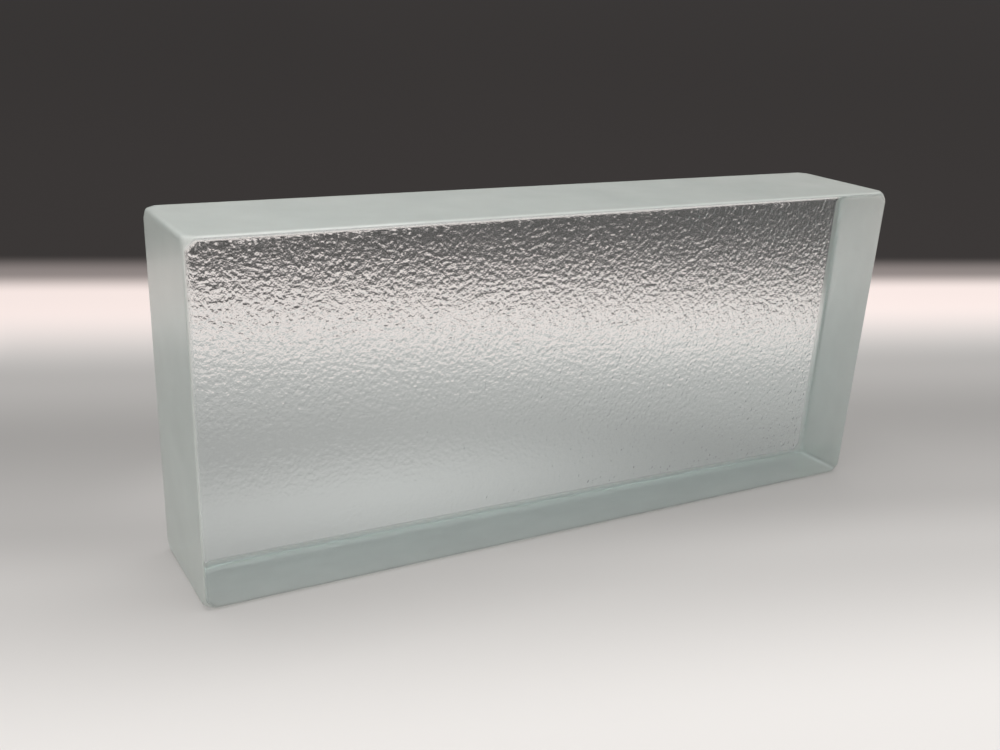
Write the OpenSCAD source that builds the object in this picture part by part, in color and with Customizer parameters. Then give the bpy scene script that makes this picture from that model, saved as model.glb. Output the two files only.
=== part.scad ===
// Solid cast glass block, standing on one of its long narrow sides.
// X runs along its length, Y through its thickness, and +Z is up.
// The origin is on the floor, under the middle of the block.
// The clear face looks towards -Y, and the textured face towards +Y.

/* [Block] */
// Length of the block, from end to end
block_length = 230; // [120:1:320]
// Height of the block as it stands
block_height = 100; // [60:1:200]
// Thickness of the block, from the clear face to the textured face
block_thickness = 40; // [20:1:80]

/* [Ground edges] */
// Radius of the ground edge that runs round the clear face
clear_edge_radius = 1.5; // [0.5:0.25:4]
// Radius of the ground edge that runs round the textured face
textured_edge_radius = 1.5; // [0.5:0.25:4]
// Radius of the four edges where the ends meet the bed and the top
end_edge_radius = 1.5; // [0.5:0.25:4]
// How far along each edge the easing of a corner point reaches
corner_ease = 7; // [4:0.5:9]

/* [Hidden] */
// Satin pale green of the glass
glass_color = [0.74, 0.80, 0.77];
// Radius of the ball that eases a corner: it touches the three sharp edges that meet there
corner_ball_radius = corner_ease * sqrt(2);
// How far a cutter stands proud of the glass
overcut = 1;
// Facets round a full circle
$fn = 96;

// Rectangle centred on X that stands on the X axis.
// The corners at its low X side and at its high X side have radii of their own.
module rounded_rectangle(width, height, low_x_radius, high_x_radius) {
    low_x = -width / 2 + low_x_radius;
    high_x = width / 2 - high_x_radius;
    translate([low_x, 0]) square([high_x - low_x, height]);
    translate([-width / 2, low_x_radius]) square([low_x_radius, height - 2 * low_x_radius]);
    translate([high_x, high_x_radius]) square([high_x_radius, height - 2 * high_x_radius]);
    for (y = [low_x_radius, height - low_x_radius]) translate([low_x, y]) circle(low_x_radius);
    for (y = [high_x_radius, height - high_x_radius]) translate([high_x, y]) circle(high_x_radius);
}

// Outline of the wide faces, run through the thickness
module face_outline() {
    translate([0, block_thickness / 2, 0])
        rotate([90, 0, 0])
            linear_extrude(block_thickness)
                rounded_rectangle(block_length, block_height, end_edge_radius, end_edge_radius);
}

// Cross-section of the block, run along its length
module cross_section() {
    translate([-block_length / 2, 0, 0])
        rotate([90, 0, 90])
            linear_extrude(block_length)
                rounded_rectangle(block_thickness, block_height, clear_edge_radius, textured_edge_radius);
}

// Plan of the block, run up its height
module plan_section() {
    linear_extrude(block_height)
        translate([block_length / 2, 0])
            rotate(90)
                rounded_rectangle(block_thickness, block_length, clear_edge_radius, textured_edge_radius);
}

// What is ground off the corner point at the origin: a cube, less the ball that rounds it
module corner_cutter() {
    difference() {
        translate([-overcut, -overcut, -overcut]) cube(corner_ease + overcut);
        translate([corner_ease, corner_ease, corner_ease]) sphere(corner_ball_radius);
    }
}

// The children, moved to each of the block's eight corner points
module at_each_corner() {
    for (x_side = [0, 1], y_side = [0, 1], z_side = [0, 1])
        translate([0, 0, block_height / 2])
            mirror([x_side, 0, 0])
                mirror([0, y_side, 0])
                    mirror([0, 0, z_side])
                        translate([-block_length / 2, -block_thickness / 2, -block_height / 2])
                            children();
}

// One casting: all that lies inside its three rounded outlines, with its corner points eased
module glass_block() {
    color(glass_color)
        difference() {
            intersection() {
                face_outline();
                cross_section();
                plan_section();
            }
            at_each_corner() corner_cutter();
        }
}

glass_block();
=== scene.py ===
"""Dresses one solid cast glass block and sets it on a pale table under soft studio light.

The block has a clear polished front, a finely textured cast back and satin ground sides, ends
and edges. Everything is in metres, in the frame of the construction model: X along the block,
Y through it from the clear face to the textured one, Z up.
"""

import logging
import math
from dataclasses import dataclass, field
from enum import Enum

import bmesh
import bpy
from mathutils import Matrix, Vector, noise


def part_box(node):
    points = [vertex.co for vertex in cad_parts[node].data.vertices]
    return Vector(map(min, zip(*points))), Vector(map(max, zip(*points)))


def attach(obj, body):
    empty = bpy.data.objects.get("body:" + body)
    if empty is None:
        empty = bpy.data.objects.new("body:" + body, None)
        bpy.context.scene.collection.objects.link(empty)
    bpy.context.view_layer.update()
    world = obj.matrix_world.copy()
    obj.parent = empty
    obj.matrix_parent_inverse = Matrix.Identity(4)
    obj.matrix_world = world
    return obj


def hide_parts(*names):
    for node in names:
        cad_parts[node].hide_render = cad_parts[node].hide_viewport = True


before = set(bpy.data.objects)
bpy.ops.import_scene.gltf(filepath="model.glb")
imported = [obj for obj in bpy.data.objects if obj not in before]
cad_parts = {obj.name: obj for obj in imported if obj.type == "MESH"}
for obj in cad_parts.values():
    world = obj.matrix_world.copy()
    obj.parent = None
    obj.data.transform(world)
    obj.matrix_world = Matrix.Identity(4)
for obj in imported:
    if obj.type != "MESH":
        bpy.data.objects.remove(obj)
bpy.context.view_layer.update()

log = logging.getLogger("glass_block")

NODE_NAME = "glass_block"
BODY_NAME = "root"
MILLIMETRE = 0.001
WHITE = (1.0, 1.0, 1.0, 1.0)
FLAT_SIDES = 6
# The sockets of a Mix node that carry colours
MIX_FIRST = 6
MIX_SECOND = 7
MIX_RESULT = 2


class Zone(Enum):
    """Where a surface of the block lies, as the name of the mesh attribute that marks it."""

    POLISHED = "polished_face"
    CAST = "cast_face"


class Signal:
    """One output in a node tree, which takes part in plain arithmetic."""

    def __init__(self, bench: "NodeBench", source: "bpy.types.NodeSocket | None") -> None:
        """Keeps the bench that adds nodes and the socket that this signal stands for.

        Args:
            bench: the node bench of the tree.
            source: an output socket, or None for a node that has none.
        """
        self.bench = bench
        self.source = source

    def _combine(self, operation: str, first: "Signal | float", second: "Signal | float") -> "Signal":
        """Adds one Math node.

        Args:
            operation: the Math node's operation.
            first: its first value.
            second: its second value.

        Returns:
            The node's result.
        """
        return self.bench.add("ShaderNodeMath", {"operation": operation}, {0: first, 1: second})

    def __add__(self, other: "Signal | float") -> "Signal":
        """This plus other."""
        return self._combine("ADD", self, other)

    def __radd__(self, other: float) -> "Signal":
        """Other plus this."""
        return self._combine("ADD", other, self)

    def __sub__(self, other: "Signal | float") -> "Signal":
        """This less other."""
        return self._combine("SUBTRACT", self, other)

    def __rsub__(self, other: float) -> "Signal":
        """Other less this."""
        return self._combine("SUBTRACT", other, self)

    def __mul__(self, other: "Signal | float") -> "Signal":
        """This times other."""
        return self._combine("MULTIPLY", self, other)

    def __rmul__(self, other: float) -> "Signal":
        """Other times this."""
        return self._combine("MULTIPLY", other, self)


class NodeBench:
    """Adds nodes to one material's or world's tree."""

    def __init__(self, owner: "bpy.types.Material | bpy.types.World") -> None:
        """Empties the owner's node tree and keeps it.

        Args:
            owner: the material or world that gets the nodes.
        """
        owner.use_nodes = True
        self.tree = owner.node_tree
        self.tree.nodes.clear()

    def add(
        self, kind: str, settings: dict | None = None, inputs: dict | None = None, output: int | str = 0
    ) -> Signal:
        """Adds one node, sets it and feeds its sockets.

        Args:
            kind: the node's type.
            settings: its properties; "stops" holds the places and colours of a ramp.
            inputs: a value, colour or Signal for each socket, by name or number.
            output: the output that is wanted.

        Returns:
            The wanted output as a Signal.
        """
        node = self.tree.nodes.new(kind)
        for name, value in (settings or {}).items():
            if name == "stops":
                self._set_stops(node.color_ramp, value)
            else:
                setattr(node, name, value)
        for name, value in (inputs or {}).items():
            source = value.source if isinstance(value, Signal) else value
            if isinstance(source, bpy.types.NodeSocket):
                self.tree.links.new(source, node.inputs[name])
            else:
                node.inputs[name].default_value = source
        outlet = node.outputs[output] if node.outputs else None
        return Signal(self, outlet)

    @staticmethod
    def _set_stops(ramp: bpy.types.ColorRamp, stops: tuple) -> None:
        """Gives a ramp its stops and lets them run softly into each other.

        Args:
            ramp: the ramp of a Color Ramp node.
            stops: pairs of place and colour, in order.
        """
        ramp.interpolation = "EASE"
        while len(ramp.elements) < len(stops):
            ramp.elements.new(1.0)
        for element, (place, colour) in zip(ramp.elements, stops):
            element.position = place
            element.color = (*colour, 1.0)

    def noise(
        self, scale: float, detail: float = 0.0, roughness: float = 0.5, squeeze: tuple | None = None
    ) -> Signal:
        """Adds noise on the object's own coordinates.

        Args:
            scale: grains per metre.
            detail: how many finer layers it has.
            roughness: how strong the finer layers are.
            squeeze: how much finer it is along each axis, where that differs.

        Returns:
            A value round 0.5.
        """
        place = self.add("ShaderNodeTexCoord", output="Object")
        if squeeze:
            place = self.add("ShaderNodeVectorMath", {"operation": "MULTIPLY"}, {0: place, 1: squeeze})
        inputs = {"Vector": place, "Scale": scale, "Detail": detail, "Roughness": roughness}
        return self.add("ShaderNodeTexNoise", inputs=inputs, output="Fac")

    def step(self, value: Signal, places: tuple, levels: tuple) -> Signal:
        """Steps softly from one level to another.

        Args:
            value: what the step follows.
            places: the values at which it begins and ends.
            levels: the levels before and after it.

        Returns:
            The level.
        """
        start, end = places
        before, after = levels
        inputs = {"Value": value, "From Min": start, "From Max": end, "To Min": before, "To Max": after}
        return self.add("ShaderNodeMapRange", {"interpolation_type": "SMOOTHSTEP"}, inputs)

    def attribute(self, zone: Zone) -> Signal:
        """Reads one zone's attribute from the mesh.

        Args:
            zone: the zone.

        Returns:
            1 inside the zone, 0 outside and a soft change between.
        """
        settings = {"attribute_name": zone.value, "attribute_type": "GEOMETRY"}
        return self.add("ShaderNodeAttribute", settings, output="Fac")


@dataclass(frozen=True)
class PolishedFinish:
    """The clear front: fire bright, with a few faint wipe marks."""

    roughness: float = 0.012
    smear_roughness: float = 0.02
    smear_scale: float = 60.0
    smear_detail: float = 2.0

    def surface_roughness(self, bench: NodeBench) -> Signal:
        """Roughness of the clear face, a little higher where it is smeared."""
        return bench.noise(self.smear_scale, self.smear_detail) * self.smear_roughness + self.roughness


@dataclass(frozen=True)
class CastFinish:
    """The back as it left the mould: bright skin over a fine worm-like grain."""

    roughness: float = 0.20
    pit_roughness: float = 0.05
    pit_detail: float = 1.0
    grain_scale: float = 880.0
    grain_detail: float = 1.0
    grain_softness: float = 0.4
    grain_squeeze: tuple = (1.18, 1.0, 1.0)
    grain_height: float = 0.27 * MILLIMETRE
    fine_scale: float = 2600.0
    fine_height: float = 0.03 * MILLIMETRE

    def surface_roughness(self, bench: NodeBench) -> Signal:
        """Roughness of the cast skin, a little higher in the hollows."""
        return bench.noise(self.fine_scale, self.pit_detail) * self.pit_roughness + self.roughness

    def surface_height(self, bench: NodeBench) -> Signal:
        """Works out the height of the grain that is too fine for the mesh.

        Args:
            bench: the bench of the glass.

        Returns:
            The height in metres.
        """
        grain = bench.noise(self.grain_scale, self.grain_detail, self.grain_softness, self.grain_squeeze)
        fine = bench.noise(self.fine_scale)
        return grain * self.grain_height + fine * self.fine_height


@dataclass(frozen=True)
class GroundFinish:
    """The sides, ends and edges: ground to an even satin, with fine sanding grain."""

    face_on_roughness: float = 0.14
    grazing_roughness: float = 0.08
    grazing_from: float = 0.25
    grazing_to: float = 0.55
    even_blend: float = 0.5
    cloud_roughness: float = 0.05
    cloud_scale: float = 45.0
    cloud_detail: float = 3.0
    frost_share: float = 0.51
    frost_cloud: float = 0.16
    frost_speck: float = 0.08
    frost_colour: tuple = (0.95, 0.96, 0.91)
    frost_roughness: float = 0.25
    frost_translucence: float = 0.36
    speck_detail: float = 1.0
    grain_scale: float = 3200.0
    grain_detail: float = 2.0
    grain_height: float = 0.006 * MILLIMETRE

    def surface_roughness(self, bench: NodeBench) -> Signal:
        """Works out the roughness of the satin, which like any satin mirrors more at a low angle.

        Args:
            bench: the bench of the glass.

        Returns:
            The roughness, in soft clouds left by the wheel.
        """
        facing = bench.add("ShaderNodeLayerWeight", inputs={"Blend": self.even_blend}, output="Facing")
        places = (self.grazing_from, self.grazing_to)
        satin = bench.step(facing, places, (self.face_on_roughness, self.grazing_roughness))
        return bench.noise(self.cloud_scale, self.cloud_detail) * self.cloud_roughness + satin

    def surface_height(self, bench: NodeBench) -> Signal:
        """Height of the sanding grain."""
        return bench.noise(self.grain_scale, self.grain_detail) * self.grain_height

    def frost(self, bench: NodeBench) -> Signal:
        """Works out how much of the surface is broken up into white frost.

        Args:
            bench: the bench of the glass.

        Returns:
            The frosted share, in clouds and specks.
        """
        clouds = bench.noise(self.cloud_scale, self.cloud_detail) * self.frost_cloud
        specks = bench.noise(self.grain_scale, self.speck_detail) * self.frost_speck
        return clouds + specks + self.frost_share


@dataclass(frozen=True)
class CastGlass:
    """Clear cast glass with a faint green tint, finished in three ways on its three kinds of face."""

    refraction: float = 1.52
    body_tint: tuple = (0.68, 0.86, 0.87)
    tint_density: float = 8.0
    polished: PolishedFinish = field(default_factory=PolishedFinish)
    cast: CastFinish = field(default_factory=CastFinish)
    ground: GroundFinish = field(default_factory=GroundFinish)

    def make(self) -> bpy.types.Material:
        """Builds the material.

        Returns:
            The glass, with roughness and relief by zone and an even tint inside.
        """
        material = bpy.data.materials.new("cast_glass_finish")
        bench = NodeBench(material)
        polished = bench.attribute(Zone.POLISHED)
        cast = bench.attribute(Zone.CAST)
        ground = 1.0 - polished - cast
        roughness = (
            polished * self.polished.surface_roughness(bench)
            + cast * self.cast.surface_roughness(bench)
            + ground * self.ground.surface_roughness(bench)
        )
        height = cast * self.cast.surface_height(bench) + ground * self.ground.surface_height(bench)
        normal = bench.add("ShaderNodeBump", inputs={"Height": height, "Distance": 1.0}, output="Normal")
        clear = bench.add(
            "ShaderNodeBsdfPrincipled",
            inputs={
                "Base Color": WHITE,
                "IOR": self.refraction,
                "Transmission Weight": 1.0,
                "Roughness": roughness,
                "Normal": normal,
            },
        )
        frost = self._frosted(bench, normal)
        share = ground * self.ground.frost(bench)
        surface = bench.add("ShaderNodeMixShader", inputs={0: share, 1: clear, 2: frost})
        inside = bench.add(
            "ShaderNodeVolumeAbsorption",
            inputs={"Color": (*self.body_tint, 1.0), "Density": self.tint_density},
        )
        bench.add("ShaderNodeOutputMaterial", inputs={"Surface": surface, "Volume": inside})
        return material

    def _frosted(self, bench: NodeBench, normal: Signal) -> Signal:
        """Makes the white frost of the ground faces, which light also gets through.

        Args:
            bench: the bench of the glass.
            normal: the surface's relief.

        Returns:
            The frost's shader.
        """
        colour = (*self.ground.frost_colour, 1.0)
        solid = bench.add(
            "ShaderNodeBsdfPrincipled",
            inputs={"Base Color": colour, "Roughness": self.ground.frost_roughness, "Normal": normal},
        )
        thin = bench.add("ShaderNodeBsdfTranslucent", inputs={"Color": colour, "Normal": normal})
        inputs = {0: self.ground.frost_translucence, 1: solid, 2: thin}
        return bench.add("ShaderNodeMixShader", inputs=inputs)


@dataclass
class GlassBlock:
    """The block's visible body: one closed mesh with ground edges, cut corners and a relief on its back."""

    edge_radius: float = 1.2 * MILLIMETRE
    edge_segments: int = 5
    corner_ease: float = 3.0 * MILLIMETRE
    face_margin: float = 0.8 * MILLIMETRE
    back_margin: float = 1.4 * MILLIMETRE
    polish_depth: float = 0.5 * MILLIMETRE
    grid_pitch: float = 0.5 * MILLIMETRE
    cut_tolerance: float = 0.00001 * MILLIMETRE
    flat_cosine: float = 0.9999
    relief_depth: float = 0.15 * MILLIMETRE
    relief_grain: float = 1.3 * MILLIMETRE
    relief_fade: float = 1.0 * MILLIMETRE
    glass: CastGlass = field(default_factory=CastGlass)

    def build(self) -> bpy.types.Object:
        """Models the block and puts it in the place of the construction solid.

        Returns:
            The finished piece.
        """
        low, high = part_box(NODE_NAME)
        mesh = self._shell(low, high)
        back = self._margins(mesh)
        self._polish_front(mesh, low)
        cells = self._grid(mesh, back)
        self._mark(mesh, Zone.CAST, cells)
        self._press_relief(cells, low, high)
        return self._place(mesh)

    def dress(self, piece: bpy.types.Object) -> None:
        """Gives the piece its glass."""
        piece.data.materials.append(self.glass.make())

    def _shell(self, low: Vector, high: Vector) -> bmesh.types.BMesh:
        """Makes the plain block with its corners cut and every edge rounded.

        Args:
            low: lowest corner of the block.
            high: highest corner of the block.

        Returns:
            The mesh.
        """
        mesh = bmesh.new()
        for zone in Zone:
            mesh.verts.layers.float.new(zone.value)
        bmesh.ops.create_cube(mesh, size=1.0)
        bmesh.ops.scale(mesh, vec=high - low, verts=mesh.verts)
        bmesh.ops.translate(mesh, vec=(high + low) / 2, verts=mesh.verts)
        bmesh.ops.bevel(
            mesh, geom=mesh.verts[:], offset=self.corner_ease, offset_type="OFFSET",
            segments=1, profile=0.5, affect="VERTICES", material=-1,
        )
        bmesh.ops.bevel(
            mesh, geom=mesh.edges[:], offset=self.edge_radius, offset_type="OFFSET",
            segments=self.edge_segments, profile=0.5, affect="EDGES", material=-1,
        )
        return mesh

    @staticmethod
    def _flats(mesh: bmesh.types.BMesh) -> list:
        """The six flat faces, which are by far the largest."""
        return sorted(mesh.faces, key=lambda face: face.calc_area())[-FLAT_SIDES:]

    def _margins(self, mesh: bmesh.types.BMesh) -> bmesh.types.BMFace:
        """Insets the six flat faces a little, which keeps their shading flat up to the rounded edge.

        Args:
            mesh: the block.

        Returns:
            The inner back face.
        """
        flats = self._flats(mesh)
        bmesh.ops.inset_individual(mesh, faces=flats, thickness=self.face_margin, use_even_offset=True)
        back = max(flats, key=lambda face: face.normal.y)
        bmesh.ops.inset_individual(mesh, faces=[back], thickness=self.back_margin, use_even_offset=True)
        return back

    def _grid(self, mesh: bmesh.types.BMesh, back: bmesh.types.BMFace) -> list:
        """Cuts the back face into small squares.

        Args:
            mesh: the block.
            back: the inner back face.

        Returns:
            The vertices of the squares.
        """
        plane = back.verts[0].co.y
        strips = self._slice(mesh, [back], Vector((0.0, 0.0, 1.0)))
        self._slice(mesh, strips, Vector((1.0, 0.0, 0.0)))
        return [vertex for vertex in mesh.verts if vertex.co.y == plane and self._flat(vertex)]

    def _flat(self, vertex: bmesh.types.BMVert) -> bool:
        """Whether every face round a vertex points out of the back."""
        return all(face.normal.y > self.flat_cosine for face in vertex.link_faces)

    def _slice(self, mesh: bmesh.types.BMesh, faces: list, way: Vector) -> list:
        """Cuts faces across at even steps.

        Args:
            mesh: the block.
            faces: the faces to cut.
            way: the direction that the cuts step along.

        Returns:
            Every face that came of them.
        """
        places = [vertex.co.dot(way) for face in faces for vertex in face.verts]
        first, last = min(places), max(places)
        steps = round((last - first) / self.grid_pitch)
        done = []
        ahead = faces
        for step in range(1, steps):
            cut = first + (last - first) * step / steps
            edges = [edge for face in ahead for edge in face.edges]
            corners = [vertex for face in ahead for vertex in face.verts]
            made = bmesh.ops.bisect_plane(
                mesh, geom=list(dict.fromkeys(ahead + edges + corners)),
                plane_co=way * cut, plane_no=way, dist=self.cut_tolerance,
            )
            pieces = [part for part in made["geom"] if isinstance(part, bmesh.types.BMFace)]
            ahead = [face for face in pieces if face.calc_center_median().dot(way) > cut]
            done += [face for face in pieces if face.calc_center_median().dot(way) <= cut]
        return done + ahead

    def _press_relief(self, vertices: list, low: Vector, high: Vector) -> None:
        """Sinks the cast grain into the back, down to nothing at its outline.

        Args:
            vertices: the vertices of the back's grid.
            low: lowest corner of the block.
            high: highest corner of the block.
        """
        rim = self.edge_radius + self.face_margin + self.back_margin
        squeeze = Vector(self.glass.cast.grain_squeeze)
        for vertex in vertices:
            spot = vertex.co
            beside = min(spot.x - low.x, high.x - spot.x, spot.z - low.z, high.z - spot.z)
            share = min(1.0, max(0.0, (beside - rim) / self.relief_fade))
            height = noise.noise(spot * squeeze / self.relief_grain, noise_basis="PERLIN_NEW")
            grain = (1.0 + height) / 2
            vertex.co.y -= self.relief_depth * share * grain

    def _polish_front(self, mesh: bmesh.types.BMesh, low: Vector) -> None:
        """Marks the front as polished, softly down to nothing on its rounded edge.

        Args:
            mesh: the block.
            low: lowest corner of the block.
        """
        layer = mesh.verts.layers.float[Zone.POLISHED.value]
        for vertex in mesh.verts:
            vertex[layer] = max(0.0, 1.0 - (vertex.co.y - low.y) / self.polish_depth)

    @staticmethod
    def _mark(mesh: bmesh.types.BMesh, zone: Zone, vertices: list) -> None:
        """Writes a zone's attribute on its vertices.

        Args:
            mesh: the block.
            zone: the zone that they belong to.
            vertices: its vertices.
        """
        layer = mesh.verts.layers.float[zone.value]
        for vertex in vertices:
            vertex[layer] = 1.0

    @staticmethod
    def _place(mesh: bmesh.types.BMesh) -> bpy.types.Object:
        """Turns the mesh into an object at the origin, in the construction solid's stead.

        Args:
            mesh: the finished block.

        Returns:
            The object.
        """
        for face in mesh.faces:
            face.smooth = True
        data = bpy.data.meshes.new("cast_block")
        mesh.to_mesh(data)
        mesh.free()
        piece = bpy.data.objects.new("cast_block", data)
        bpy.context.scene.collection.objects.link(piece)
        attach(piece, BODY_NAME)
        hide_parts(NODE_NAME)
        return piece


@dataclass
class Table:
    """A plain pale table with painted light and shade: brighter towards the camera, darker round the
    block, a painted bright strip along its far side and painted darkness beyond it, and a painted
    brightening towards the right.

    Each band is a distance along the view and the level of painted light there. The patches, a
    painted pool of light behind the block and a painted gleam far behind on its left, are given by
    their middle and by how far they reach along each axis.
    """

    reach: float = 30.0
    drop: float = 0.3 * MILLIMETRE
    look_along: float = 18.3
    near_tint: tuple = (1.0, 0.965, 0.935)
    far_tint: tuple = (1.0, 0.865, 0.825)
    far_from: tuple = (0.14, 0.24)
    glow: float = 0.5
    roughness: float = 0.55
    shine: float = 0.2
    # Painted light and shade: bright towards the camera, darkest just behind the block, a painted bright
    # strip at 0.23 to 0.26 and painted darkness from 0.345 on.
    bands: tuple = (
        (-0.12, 0.80),
        (-0.04, 0.55),
        (0.00, 0.43),
        (0.07, 0.345),
        (0.13, 0.435),
        (0.23, 0.93),
        (0.263, 0.92),
        (0.304, 0.26),
        (0.345, 0.034),
        (1.00, 0.034),
    )
    # Painted side light: the table grows a little brighter towards the right.
    painted_light_slope_from: tuple = (-0.15, 0.25)
    painted_light_slope_levels: tuple = (0.98, 1.04)
    # A painted pool of light behind the block, as if let through the glass.
    painted_light_patch_centre: tuple = (-0.03, 0.045, 0.0)
    painted_light_patch_reach: tuple = (0.12, 0.06, 1.0)
    painted_light_patch_level: float = 0.18
    # A painted gleam: a bright patch far behind the block on its left.
    painted_gleam_centre: tuple = (-0.212, 0.249, 0.0)
    painted_gleam_reach: tuple = (0.09, 0.09, 1.0)
    painted_gleam_level: float = 0.5

    def build(self) -> bpy.types.Object:
        """Lays the table just under the block.

        Returns:
            The table's top.
        """
        mesh = bmesh.new()
        bmesh.ops.create_grid(mesh, x_segments=1, y_segments=1, size=self.reach)
        bmesh.ops.translate(mesh, vec=(0.0, 0.0, -self.drop), verts=mesh.verts)
        data = bpy.data.meshes.new("table_top")
        mesh.to_mesh(data)
        mesh.free()
        top = bpy.data.objects.new("table_top", data)
        bpy.context.scene.collection.objects.link(top)
        return top

    def dress(self, top: bpy.types.Object) -> None:
        """Paints the table in soft bands of painted light and shade across the view, with the painted
        patches and the painted brightening to the right.

        The camera, mirrors and glass see it partly glowing. The light that it throws back on the
        block stays plain.

        Args:
            top: the table's top.
        """
        material = bpy.data.materials.new("pale_table")
        bench = NodeBench(material)
        place = bench.add("ShaderNodeTexCoord", output="Object")
        angle = math.radians(self.look_along)
        ahead = self._along(bench, place, (math.sin(angle), math.cos(angle), 0.0))
        beside = self._along(bench, place, (math.cos(angle), -math.sin(angle), 0.0))
        distant = bench.step(ahead, self.far_from, (0.0, 1.0))
        # Painted side light, a little brighter towards the right.
        painted_light_slope = bench.step(beside, self.painted_light_slope_from, self.painted_light_slope_levels)
        # Painted pool of light behind the block.
        patch = self._patch(bench, place, self.painted_light_patch_centre, self.painted_light_patch_reach) * self.painted_light_patch_level
        # Painted gleam far behind the block on its left.
        painted_gleam = self._patch(bench, place, self.painted_gleam_centre, self.painted_gleam_reach) * self.painted_gleam_level
        tint = self._mixed(bench, "MIX", distant, (*self.near_tint, 1.0), (*self.far_tint, 1.0))
        # The painted light and shade of the bands, with the painted pool of light and the painted gleam
        # added.
        colour = self._mixed(bench, "ADD", patch, self._painted_bands(bench, ahead), WHITE)
        colour = self._mixed(bench, "ADD", painted_gleam, colour, WHITE)
        colour = self._mixed(bench, "MULTIPLY", 1.0, colour, painted_light_slope)
        colour = self._mixed(bench, "MULTIPLY", 1.0, colour, tint)
        lit = bench.add(
            "ShaderNodeBsdfPrincipled",
            inputs={"Base Color": colour, "Roughness": self.roughness, "Specular IOR Level": self.shine},
        )
        glowing = bench.add("ShaderNodeEmission", inputs={"Color": colour})
        unseen = (
            (1.0 - bench.add("ShaderNodeLightPath", output="Is Camera Ray"))
            * (1.0 - bench.add("ShaderNodeLightPath", output="Is Glossy Ray"))
            * (1.0 - bench.add("ShaderNodeLightPath", output="Is Transmission Ray"))
        )
        share = (1.0 - unseen) * self.glow
        surface = bench.add("ShaderNodeMixShader", inputs={0: share, 1: lit, 2: glowing})
        bench.add("ShaderNodeOutputMaterial", inputs={"Surface": surface})
        top.data.materials.append(material)

    @staticmethod
    def _along(bench: NodeBench, place: Signal, way: tuple) -> Signal:
        """How far a place lies along a direction."""
        inputs = {0: place, 1: way}
        return bench.add("ShaderNodeVectorMath", {"operation": "DOT_PRODUCT"}, inputs, output="Value")

    @staticmethod
    def _mixed(
        bench: NodeBench, way: str, share: Signal | float, first: Signal | tuple, second: Signal | tuple
    ) -> Signal:
        """Mixes two colours.

        Args:
            bench: the bench of the table's material.
            way: the blend type.
            share: how much of the second is mixed in.
            first: the first colour.
            second: the second colour.

        Returns:
            The mixed colour.
        """
        settings = {"data_type": "RGBA", "blend_type": way, "clamp_result": True}
        inputs = {0: share, MIX_FIRST: first, MIX_SECOND: second}
        return bench.add("ShaderNodeMix", settings, inputs, output=MIX_RESULT)

    @staticmethod
    def _patch(bench: NodeBench, place: Signal, centre: tuple, reach: tuple) -> Signal:
        """A soft round patch of painted light on the table.

        Args:
            bench: the bench of the table's material.
            place: the place on the table.
            centre: the middle of the patch.
            reach: how far it reaches along each axis.

        Returns:
            1 in the middle of the patch, down to 0 at its outline.
        """
        offset = bench.add("ShaderNodeVectorMath", {"operation": "SUBTRACT"}, {0: place, 1: centre})
        share = bench.add("ShaderNodeVectorMath", {"operation": "DIVIDE"}, {0: offset, 1: reach})
        distance = bench.add("ShaderNodeVectorMath", {"operation": "LENGTH"}, {0: share}, output="Value")
        return bench.step(distance, (0.0, 1.0), (1.0, 0.0))

    def _painted_bands(self, bench: NodeBench, along: Signal) -> Signal:
        """Runs soft bands of painted light and shade across the table.

        Args:
            bench: the bench of the table's material.
            along: the distance that the bands follow on each other in.

        Returns:
            The colour of the bands.
        """
        first, last = self.bands[0][0], self.bands[-1][0]
        stops = tuple(((spot - first) / (last - first), (level, level, level)) for spot, level in self.bands)
        share = (along - first) * (1.0 / (last - first))
        return bench.add("ShaderNodeValToRGB", {"stops": stops}, {"Fac": share})


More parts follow.
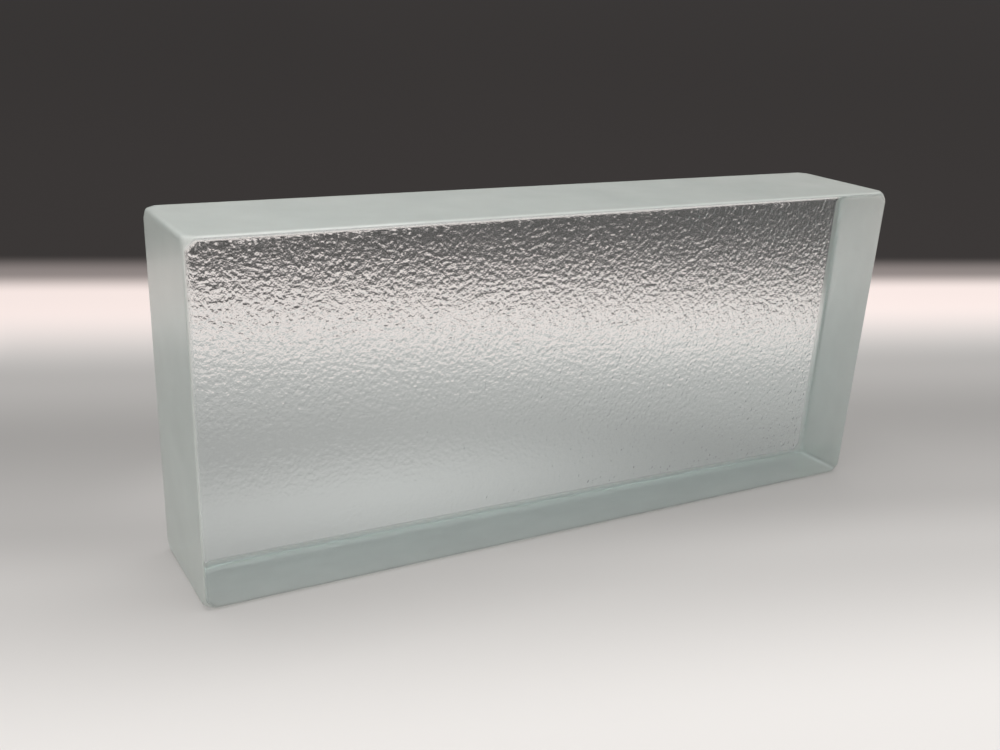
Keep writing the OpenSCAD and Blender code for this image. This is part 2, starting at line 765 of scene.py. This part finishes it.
@dataclass
class Studio:
    """The light: a surrounding that is dim low down and bright overhead, and two wide soft lamps."""

    horizon: tuple = (0.043, 0.040, 0.039)
    shoulder: tuple = (0.245, 0.245, 0.25)
    overhead: tuple = (1.0, 1.0, 1.0)
    dim_to: float = 0.12
    shoulder_at: float = 0.50
    bright_from: float = 0.9
    lamp_size: float = 0.8
    top_power: float = 8.8
    top_place: tuple = (0.0, 0.0, 1.2)
    side_power: float = 4.0
    side_place: tuple = (-1.8, -0.9, 0.7)

    def build(self) -> None:
        """Sets up the world and the lamps."""
        self._surround()
        self._lamp("top_lamp", self.top_power, self.top_place)
        self._lamp("side_lamp", self.side_power, self.side_place)

    def _surround(self) -> None:
        """Makes the world: dim at eye level, bright above."""
        world = bpy.data.worlds.new("studio")
        bpy.context.scene.world = world
        bench = NodeBench(world)
        place = bench.add("ShaderNodeTexCoord", output="Generated")
        rise = bench.add("ShaderNodeSeparateXYZ", inputs={"Vector": place}, output="Z")
        stops = (
            (0.0, self.horizon),
            (self.dim_to, self.horizon),
            (self.shoulder_at, self.shoulder),
            (self.bright_from, self.overhead),
        )
        colour = bench.add("ShaderNodeValToRGB", {"stops": stops}, {"Fac": rise})
        light = bench.add("ShaderNodeBackground", inputs={"Color": colour, "Strength": 1.0})
        bench.add("ShaderNodeOutputWorld", inputs={"Surface": light})

    def _lamp(self, name: str, power: float, place: tuple) -> None:
        """Hangs one soft lamp that faces the block.

        Args:
            name: the lamp's name.
            power: its power in watts.
            place: where it hangs.
        """
        data = bpy.data.lights.new(name, "AREA")
        data.shape = "SQUARE"
        data.size = self.lamp_size
        data.energy = power
        lamp = bpy.data.objects.new(name, data)
        turn = (-Vector(place)).to_track_quat("-Z", "Y").to_matrix().to_4x4()
        lamp.matrix_world = Matrix.Translation(place) @ turn
        bpy.context.scene.collection.objects.link(lamp)


@dataclass
class Viewpoint:
    """The camera at the photograph's angle; its rise is how far the picture is shifted up."""

    place: tuple = (-0.17887, -0.27769, 0.15971)
    azimuth: float = 30.483
    elevation: float = 22.816
    roll: float = 2.989
    lens: float = 40.24
    sensor: float = 36.0
    rise: float = 0.0691

    def build(self) -> None:
        """Adds the camera and makes it the scene's own."""
        data = bpy.data.cameras.new("camera")
        data.lens = self.lens
        data.sensor_width = self.sensor
        data.shift_y = self.rise
        camera = bpy.data.objects.new("camera", data)
        camera.matrix_world = Matrix.Translation(self.place) @ self._turn().to_4x4()
        bpy.context.scene.collection.objects.link(camera)
        bpy.context.scene.camera = camera

    def _turn(self) -> Matrix:
        """Works out which way the camera faces.

        Returns:
            The camera's turn, with its right, up and back as columns.
        """
        azimuth = math.radians(self.azimuth)
        elevation = math.radians(self.elevation)
        roll = math.radians(self.roll)
        forward = math.cos(elevation)
        ahead = Vector((math.sin(azimuth) * forward, math.cos(azimuth) * forward, -math.sin(elevation)))
        level = Vector((math.cos(azimuth), -math.sin(azimuth), 0.0))
        above = level.cross(ahead)
        right = math.cos(roll) * level + math.sin(roll) * above
        up = -math.sin(roll) * level + math.cos(roll) * above
        return Matrix((right, up, -ahead)).transposed()


def main() -> None:
    """Builds the view, the light, the table and the block, in that order."""
    bpy.context.scene.view_settings.view_transform = "Standard"
    Viewpoint().build()
    log.info("camera placed")
    Studio().build()
    log.info("studio light set")
    table = Table()
    table.dress(table.build())
    log.info("table laid")
    block = GlassBlock()
    piece = block.build()
    block.dress(piece)
    log.info("%s built with %d faces", piece.name, len(piece.data.polygons))


if __name__ == "__main__":
    logging.basicConfig(level=logging.INFO)
    main()
